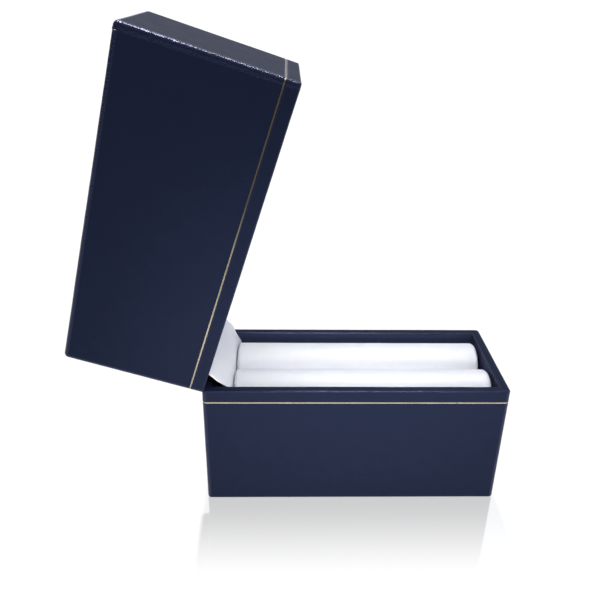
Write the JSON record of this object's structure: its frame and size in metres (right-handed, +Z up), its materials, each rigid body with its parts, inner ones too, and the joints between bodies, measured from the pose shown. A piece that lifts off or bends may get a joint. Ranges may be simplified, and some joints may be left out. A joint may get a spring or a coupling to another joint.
{
  "type": "bangle box",
  "caption": "Deep hinged bangle box covered in dark leatherette, with a fine gilt line, padded white rolls that lift out and a spring hinge behind a soft flap.",
  "frame": {"origin": "centre of the base's underside, on the surface that the box stands on", "axes": "+X from the hinge to the front, +Y along the hinge to the right, +Z up; the lid stands open at its stop, 72.4 degrees before closed"},
  "size_m": [0.2976, 0.09, 0.3243],
  "materials": {
    "navy_leatherette": "satin",
    "white_leatherette": "satin",
    "gold_foil": "satin",
    "board": "matte",
    "black_felt": "matte",
    "white_pad": "matte",
    "white_foam": "matte",
    "tube_card": "matte",
    "black_steel": "satin"
  },
  "bodies": {
    "base": {"base_front_board": "board", "base_back_board": "board", "base_left_board": "board", "base_right_board": "board", "base_floor_board": "board", "base_wrap": "navy_leatherette", "base_gold_line": "gold_foil", "underside_sheet": "black_felt", "floor_lining": "white_leatherette", "base_hinge_card": "white_leatherette", "roll_cradle_rear": "white_leatherette", "roll_cradle_front": "white_leatherette", "hinge_base_leaf": "black_steel", "hinge_base_nails": "black_steel", "hinge_pin": "black_steel", "hinge_spring_left": "black_steel", "hinge_spring_right": "black_steel", "hinge_flap": "white_leatherette"},
    "lid": {"lid_front_board": "board", "lid_back_board": "board", "lid_left_board": "board", "lid_right_board": "board", "lid_top_board": "board", "lid_wrap": "navy_leatherette", "lid_gold_line": "gold_foil", "lid_hinge_card": "white_leatherette", "lid_pad": "white_pad", "hinge_lid_leaf": "black_steel", "hinge_lid_nails": "black_steel"},
    "left_roll": {"left_roll_tube": "tube_card", "left_roll_foam": "white_foam", "left_roll_cover": "white_leatherette", "left_roll_rear_disc": "white_leatherette", "left_roll_front_disc": "white_leatherette"},
    "right_roll": {"right_roll_tube": "tube_card", "right_roll_foam": "white_foam", "right_roll_cover": "white_leatherette", "right_roll_rear_disc": "white_leatherette", "right_roll_front_disc": "white_leatherette"}
  },
  "joints": [
    {"name": "lid_hinge", "type": "hinge", "parent": "base", "child": "lid", "pos_m": [-0.1034, 0, 0.0942], "axis": [0, 1, 0], "range_deg": [0, 72.4], "deforming": ["hinge_flap", "hinge_spring_left", "hinge_spring_right"]},
    {"name": "left_roll_lift", "type": "slide", "parent": "base", "child": "left_roll", "axis": [0, 0, 1], "range_m": [0, 0.045]},
    {"name": "right_roll_lift", "type": "slide", "parent": "base", "child": "right_roll", "axis": [0, 0, 1], "range_m": [0, 0.045]}
  ]
}
